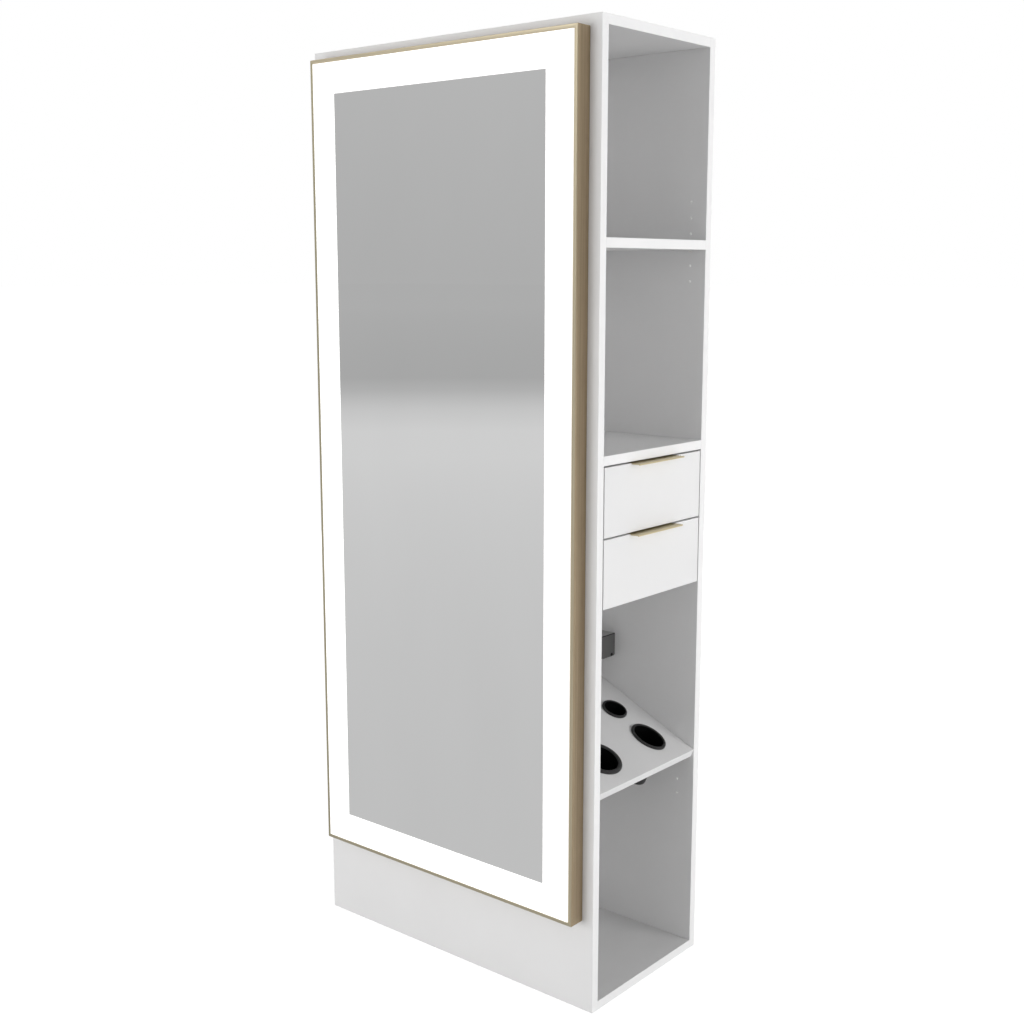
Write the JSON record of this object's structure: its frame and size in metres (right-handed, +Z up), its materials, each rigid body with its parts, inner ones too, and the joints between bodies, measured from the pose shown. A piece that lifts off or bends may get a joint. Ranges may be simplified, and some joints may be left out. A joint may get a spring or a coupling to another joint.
{
  "type": "double sided salon station",
  "caption": "Tall white cabinet with a lit framed mirror on each long face and, at each end, open shelves, sliding drawers and a sloping tool shelf with cups.",
  "frame": {"origin": "on the floor under the middle of the cabinet", "axes": "+Z up; +X out of one storage end; -Y out of the front mirror, so the mirrors face along Y"},
  "size_m": [0.801, 0.459, 1.943],
  "materials": {
    "white_laminate": "white satin laminate on board",
    "champagne_metal": "brushed champagne",
    "gold_pull": "satin pale gold",
    "mirror_glass": "polished",
    "lit_acrylic": "frosted, lit from behind",
    "black_plastic": "moulded black",
    "grey_plastic": "moulded dark grey",
    "slide_steel": "zinc plated",
    "backing_board": "white board"
  },
  "bodies": {
    "cabinet": {"front_panel": "white_laminate", "back_panel": "white_laminate", "top_panel": "white_laminate", "bottom_panel": "white_laminate", "centre_partition": "white_laminate", "right_upper_shelf": "white_laminate", "right_drawer_shelf": "white_laminate", "right_tool_shelf": "white_laminate", "right_dryer_holder": "black_plastic", "right_curler_holder": "black_plastic", "right_iron_holder": "black_plastic", "right_outlet_box": "grey_plastic", "right_upper_drawer_rail_left": "slide_steel", "right_upper_drawer_rail_right": "slide_steel", "right_lower_drawer_rail_left": "slide_steel", "right_lower_drawer_rail_right": "slide_steel", "left_upper_shelf": "white_laminate", "left_drawer_shelf": "white_laminate", "left_tool_shelf": "white_laminate", "left_dryer_holder": "black_plastic", "left_curler_holder": "black_plastic", "left_iron_holder": "black_plastic", "left_outlet_box": "grey_plastic", "left_upper_drawer_rail_left": "slide_steel", "left_upper_drawer_rail_right": "slide_steel", "left_lower_drawer_rail_left": "slide_steel", "left_lower_drawer_rail_right": "slide_steel", "front_mirror_frame": "champagne_metal", "front_mirror_glass": "mirror_glass", "front_light_band": "lit_acrylic", "front_mirror_backing": "backing_board", "front_led_strip": "lit_acrylic", "front_led_driver": "grey_plastic", "back_mirror_frame": "champagne_metal", "back_mirror_glass": "mirror_glass", "back_light_band": "lit_acrylic", "back_mirror_backing": "backing_board", "back_led_strip": "lit_acrylic", "back_led_driver": "grey_plastic"},
    "right_upper_drawer": {"right_upper_drawer_front": "white_laminate", "right_upper_drawer_box": "white_laminate", "right_upper_drawer_pull": "gold_pull", "right_upper_drawer_runner_left": "slide_steel", "right_upper_drawer_runner_right": "slide_steel"},
    "right_lower_drawer": {"right_lower_drawer_front": "white_laminate", "right_lower_drawer_box": "white_laminate", "right_lower_drawer_pull": "gold_pull", "right_lower_drawer_runner_left": "slide_steel", "right_lower_drawer_runner_right": "slide_steel"},
    "left_upper_drawer": {"left_upper_drawer_front": "white_laminate", "left_upper_drawer_box": "white_laminate", "left_upper_drawer_pull": "gold_pull", "left_upper_drawer_runner_left": "slide_steel", "left_upper_drawer_runner_right": "slide_steel"},
    "left_lower_drawer": {"left_lower_drawer_front": "white_laminate", "left_lower_drawer_box": "white_laminate", "left_lower_drawer_pull": "gold_pull", "left_lower_drawer_runner_left": "slide_steel", "left_lower_drawer_runner_right": "slide_steel"}
  },
  "joints": [
    {"name": "right_upper_drawer_slide", "type": "slide", "parent": "cabinet", "child": "right_upper_drawer", "axis": [1, 0, 0], "range_m": [0, 0.22]},
    {"name": "right_lower_drawer_slide", "type": "slide", "parent": "cabinet", "child": "right_lower_drawer", "axis": [1, 0, 0], "range_m": [0, 0.22]},
    {"name": "left_upper_drawer_slide", "type": "slide", "parent": "cabinet", "child": "left_upper_drawer", "axis": [-1, 0, 0], "range_m": [0, 0.22]},
    {"name": "left_lower_drawer_slide", "type": "slide", "parent": "cabinet", "child": "left_lower_drawer", "axis": [-1, 0, 0], "range_m": [0, 0.22]}
  ]
}
